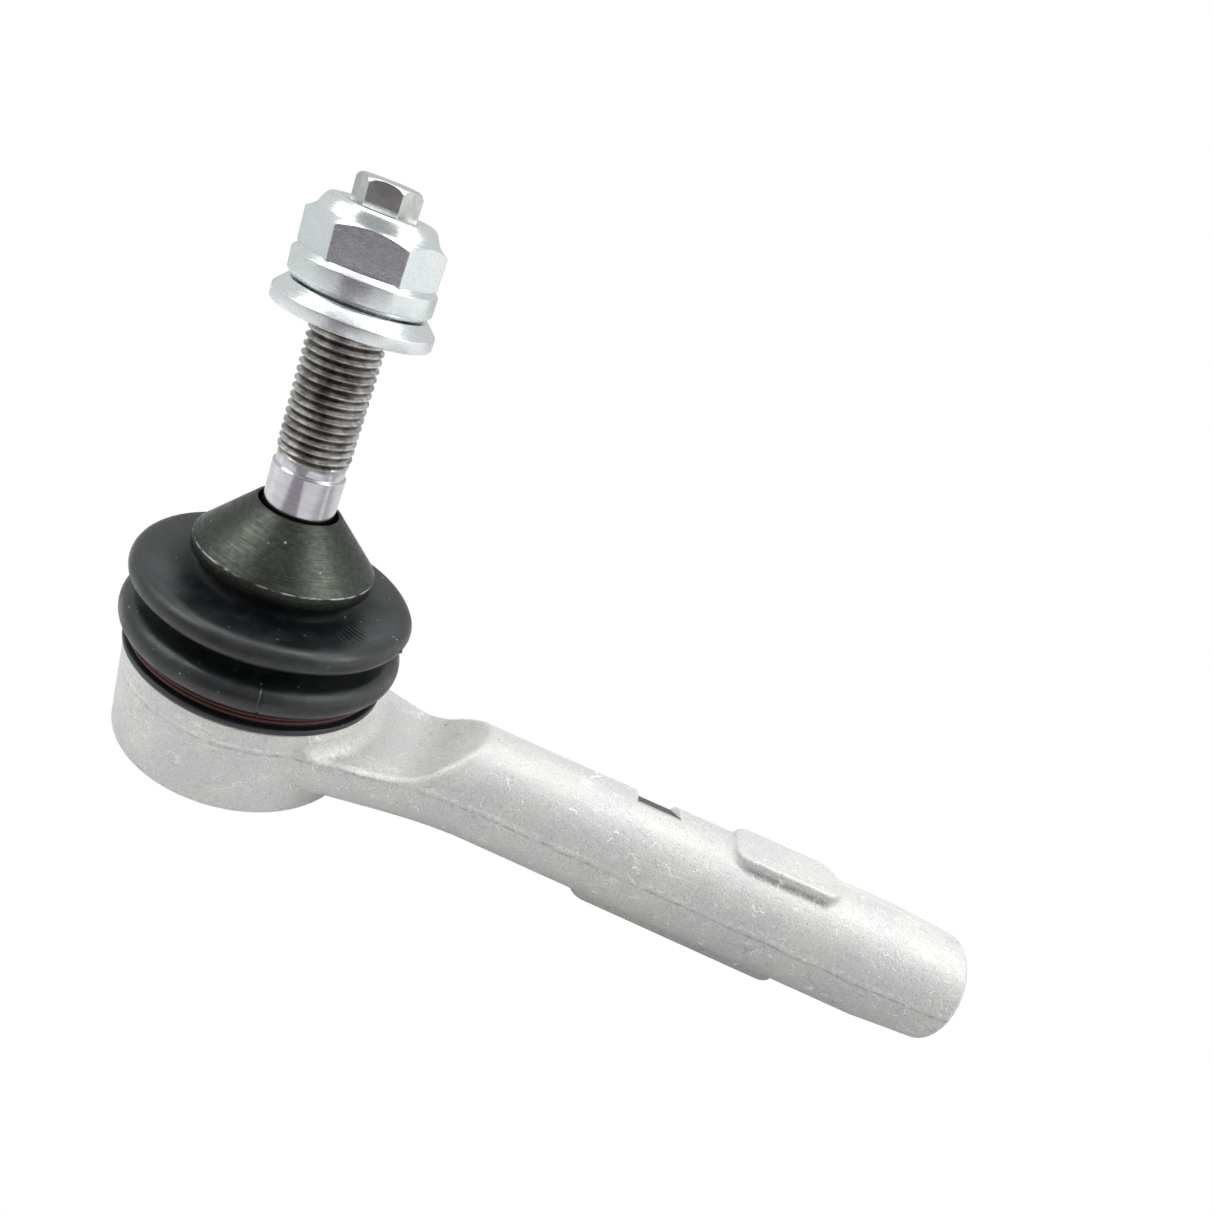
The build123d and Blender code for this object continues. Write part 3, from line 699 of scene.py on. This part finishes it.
lower_outline = np.vstack([
    rounded([(23.05, 6.45, 0), (27.0, 6.45, 0.3), (27.0, 7.65, 0.35), (25.55, 7.75, 0.2)], closed=False),
    [(25.5, 9.0), (25.5, 10.3)],
    arc((25.6, 13.6), 3.2, -88, 84, 26),
    [(24.9, 16.95), (23.8, 17.25), (22.6, 17.75), (21.8, 18.3), (21.6, 18.7)],
    [(20.1, 18.7), (20.3, 17.9), (21.4, 16.9), (23.0, 16.0), (24.4, 15.45)],
    arc((25.5, 13.6), 1.75, 84, -80, 14),
    [(24.6, 11.75), (23.55, 11.55), (23.55, 10.6), (23.05, 10.4)],
])
upper_outline = np.vstack([
    [(21.6, 18.7), (21.75, 19.2), (22.5, 19.75), (23.8, 20.3), (25.0, 20.5)],
    arc((26.0, 22.94), 2.36, -88, 88, 26),
    [(25.0, 25.22), (24.2, 25.08), (23.4, 24.94), (22.6, 24.8), (21.8, 24.68), (21.0, 24.58),
     (20.2, 24.5), (19.4, 24.44), (18.6, 24.4), (17.8, 24.42), (17.0, 24.55), (16.3, 24.85),
     (15.8, 25.3), (15.55, 25.9), (15.5, 26.7), (15.5, 28.3), (15.3, 28.5)],
    [(8.35, 28.5), (8.35, 26.5), (10.0, 26.3), (10.2, 25.0), (13.2, 24.9), (14.8, 24.0),
     (17.0, 23.15), (20.0, 23.2), (24.0, 23.7)],
    arc((26.0, 22.9), 1.0, 88, -88, 10),
    [(23.8, 21.6), (21.6, 21.2), (20.4, 20.2), (20.1, 19.3), (20.1, 18.7)],
])
lower_boot = piece(build_boot("boot_lower_fold", lower_outline), None, "boot_rubber", "dust_boot")
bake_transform(lower_boot)
upper_boot = piece(build_boot("boot_upper_fold", upper_outline), None, "boot_rubber")
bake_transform(upper_boot)

# ------------------------------------------------------------------ camera
AZIMUTH, ELEVATION, ROLL = 3.3516, 30.3383, 22.2862
TARGET = Vector((34.5425, 0, 13.933)) * MM
DISTANCE = 180.38 * MM
FOCAL_PX, CENTRE_X, CENTRE_Y, FRAME_PX = 891.53, 419.34, 693.23, 1214
SENSOR_MM = 36

az, el, roll = (math.radians(v) for v in (AZIMUTH, ELEVATION, ROLL))
back = Vector((math.sin(az) * math.cos(el), -math.cos(az) * math.cos(el), math.sin(el)))
cam_data = bpy.data.cameras.new("camera")
camera = bpy.data.objects.new("camera", cam_data)
bpy.context.scene.collection.objects.link(camera)
camera.rotation_mode = "QUATERNION"
camera.rotation_quaternion = Quaternion(-back, -roll) @ (-back).to_track_quat("-Z", "Y")
camera.location = TARGET + back * DISTANCE
cam_data.sensor_width = SENSOR_MM
cam_data.lens = FOCAL_PX / FRAME_PX * SENSOR_MM
cam_data.clip_start = 0.01
bpy.context.scene.camera = camera
home_x = camera.location.x
for attribute, shift in (("shift_x", (FRAME_PX / 2 - CENTRE_X) / FRAME_PX),
                         ("shift_y", (CENTRE_Y - FRAME_PX / 2) / FRAME_PX)):
    # the lens is off centre only while the camera is in its own place
    curve = cam_data.driver_add(attribute)
    variable = curve.driver.variables.new()
    variable.name = "x"
    variable.type = "SINGLE_PROP"
    variable.targets[0].id = camera
    variable.targets[0].data_path = "location[0]"
    curve.driver.type = "SCRIPTED"
    curve.driver.expression = f"{shift:.6f} if abs(x - {home_x:.6f}) < 0.0001 else 0.0"

# ------------------------------------------------------------------ studio
def camera_only(tree, for_others, for_camera, kind):
    """Mix two shaders so that the second is what the camera sees."""
    path = tree.nodes.new("ShaderNodeLightPath")
    mix = tree.nodes.new("ShaderNodeMixShader")
    tree.links.new(path.outputs["Is Camera Ray"], mix.inputs[0])
    tree.links.new(for_others, mix.inputs[1])
    tree.links.new(for_camera, mix.inputs[2])
    out = [n for n in tree.nodes if n.type == kind][0]
    tree.links.new(mix.outputs[0], out.inputs["Surface"])


floor_mesh = bpy.data.meshes.new("floor")
EDGE, FLOOR_Z = 8.0, -0.0146
floor_mesh.from_pydata([(-EDGE, -EDGE, FLOOR_Z), (EDGE, -EDGE, FLOOR_Z),
                        (EDGE, EDGE, FLOOR_Z), (-EDGE, EDGE, FLOOR_Z)], [], [(0, 1, 2, 3)])
floor = bpy.data.objects.new("floor", floor_mesh)
bpy.context.scene.collection.objects.link(floor)
floor_look = Look("floor_paint", (0.82, 0.82, 0.82), 0.9, 0.0)
floor_shade = floor_look.product(floor_look.remap(floor_look.radius("X"), 0.02, 0.13, 1.0, 0.0),
                                 floor_look.remap(floor_look.axis("X"), -0.03, 0.13))
floor_look.tint(floor_shade, (0.76, 0.76, 0.76), (0.34, 0.34, 0.345))
floor.data.materials.append(floor_look.done())
floor_tree = floor_look.tree
white = node(floor_tree, "ShaderNodeEmission", Color=WHITE, Strength=1.0)
# a faint glow right under the part, so that its underside isn't lost in its own shadow
under_glow = node(floor_tree, "ShaderNodeEmission", Color=WHITE)
floor_look.link(floor_look.remap(floor_look.radius("X"), 0.030, 0.055, 0.14, 0.0),
                under_glow.inputs["Strength"])
lit_floor = floor_tree.nodes.new("ShaderNodeAddShader")
floor_look.link(floor_look.bsdf.outputs[0], lit_floor.inputs[0])
floor_look.link(under_glow.outputs[0], lit_floor.inputs[1])
camera_only(floor_tree, lit_floor.outputs[0], white.outputs[0], "OUTPUT_MATERIAL")
# seen from below, the floor lets the view through
floor_end = [n for n in floor_tree.nodes if n.type == "OUTPUT_MATERIAL"][0]
seen = floor_end.inputs["Surface"].links[0].from_socket
side_mix = floor_tree.nodes.new("ShaderNodeMixShader")
clear = floor_tree.nodes.new("ShaderNodeBsdfTransparent")
which_side = floor_tree.nodes.new("ShaderNodeNewGeometry")
floor_tree.links.new(which_side.outputs["Backfacing"], side_mix.inputs[0])
floor_tree.links.new(seen, side_mix.inputs[1])
floor_tree.links.new(clear.outputs[0], side_mix.inputs[2])
floor_tree.links.new(side_mix.outputs[0], floor_end.inputs["Surface"])

world = bpy.data.worlds.new("studio")
bpy.context.scene.world = world
world.use_nodes = True
sky = world.node_tree
room = sky.nodes["Background"]
direction = sky.nodes.new("ShaderNodeTexCoord")
split = sky.nodes.new("ShaderNodeSeparateXYZ")
sky.links.new(direction.outputs["Generated"], split.inputs[0])
depth = node(sky, "ShaderNodeMapRange")
depth.interpolation_type = "SMOOTHSTEP"
for key, value in (("From Min", -0.75), ("From Max", 0.45), ("To Min", 0.34), ("To Max", 0.62)):
    depth.inputs[key].default_value = value
sky.links.new(split.outputs["Y"], depth.inputs["Value"])
sky.links.new(depth.outputs[0], room.inputs["Strength"])
room.inputs["Color"].default_value = (0.98, 0.99, 1.0, 1)
backdrop = node(sky, "ShaderNodeBackground", Color=WHITE, Strength=1.0)
camera_only(sky, room.outputs[0], backdrop.outputs[0], "OUTPUT_WORLD")


def area_light(name, place, aim, size, radiance):
    data = bpy.data.lights.new(name, "AREA")
    data.shape = "RECTANGLE"
    data.size, data.size_y = size
    data.energy = radiance * math.pi * size[0] * size[1]
    light = bpy.data.objects.new(name, data)
    bpy.context.scene.collection.objects.link(light)
    light.location = place
    light.rotation_mode = "QUATERNION"
    light.rotation_quaternion = (Vector(aim) - Vector(place)).to_track_quat("-Z", "Y")
    light.visible_camera = False


area_light("top_softbox", (0.02, 0.14, 0.75), (0.02, 0, 0.02), (0.7, 0.45), 2.1)
area_light("left_softbox", (-0.50, -0.17, 0.52), (0.03, 0, 0.03), (0.34, 0.50), 3.0)
area_light("right_softbox", (0.58, 0.0, 0.52), (0.03, 0, 0.03), (0.34, 0.50), 3.2)


def glow_card(name, corners, dim, bright):
    """A softly glowing card, seen only in the polished faces of the object."""
    data = bpy.data.meshes.new(name)
    data.from_pydata(corners, [], [(0, 1, 2, 3)])
    card = bpy.data.objects.new(name, data)
    bpy.context.scene.collection.objects.link(card)
    look = Look(name, dim, 1.0)
    glow = node(look.tree, "ShaderNodeEmission", Strength=1.0)
    look.link(look.tint(look.noise(40, 2), dim, bright), glow.inputs["Color"])
    end = [n for n in look.tree.nodes if n.type == "OUTPUT_MATERIAL"][0]
    look.link(glow.outputs[0], end.inputs["Surface"])
    card.data.materials.append(look.mat)
    card.visible_camera = card.visible_diffuse = card.visible_shadow = False


CARD_Z = FLOOR_Z + 0.0003
glow_card("table_card", [(-0.09, -0.40, CARD_Z), (0.045, -0.40, CARD_Z),
                         (0.045, -0.08, CARD_Z), (-0.09, -0.08, CARD_Z)],
          (0.34, 0.31, 0.345), (0.38, 0.35, 0.385))
glow_card("front_card", [(-0.12, -0.45, CARD_Z), (0.26, -0.45, CARD_Z),
                         (0.26, -0.45, 0.20), (-0.12, -0.45, 0.20)],
          (0.15, 0.132, 0.155), (0.18, 0.158, 0.186))
glow_card("left_card", [(-0.42, -0.25, CARD_Z), (-0.42, 0.45, CARD_Z),
                        (-0.42, 0.45, 0.32), (-0.42, -0.25, 0.32)],
          (0.62, 0.64, 0.64), (0.66, 0.68, 0.68))
glow_card("right_card", [(0.46, -0.25, CARD_Z), (0.46, 0.60, CARD_Z),
                         (0.46, 0.60, 0.32), (0.46, -0.25, 0.32)],
          (0.93, 0.95, 0.95), (0.97, 0.99, 0.99))
aim = back * 0.55
side = Vector((-back.y, back.x, 0)).normalized() * 0.07
rise = back.cross(side).normalized() * 0.05
glow_card("lens_card", [aim - side - rise, aim + side - rise, aim + side + rise, aim - side + rise],
          (0.09, 0.10, 0.12), (0.11, 0.12, 0.14))

scene = bpy.context.scene
scene.view_settings.view_transform = "Standard"
scene.view_settings.look = "None"

bpy.context.view_layer.update()
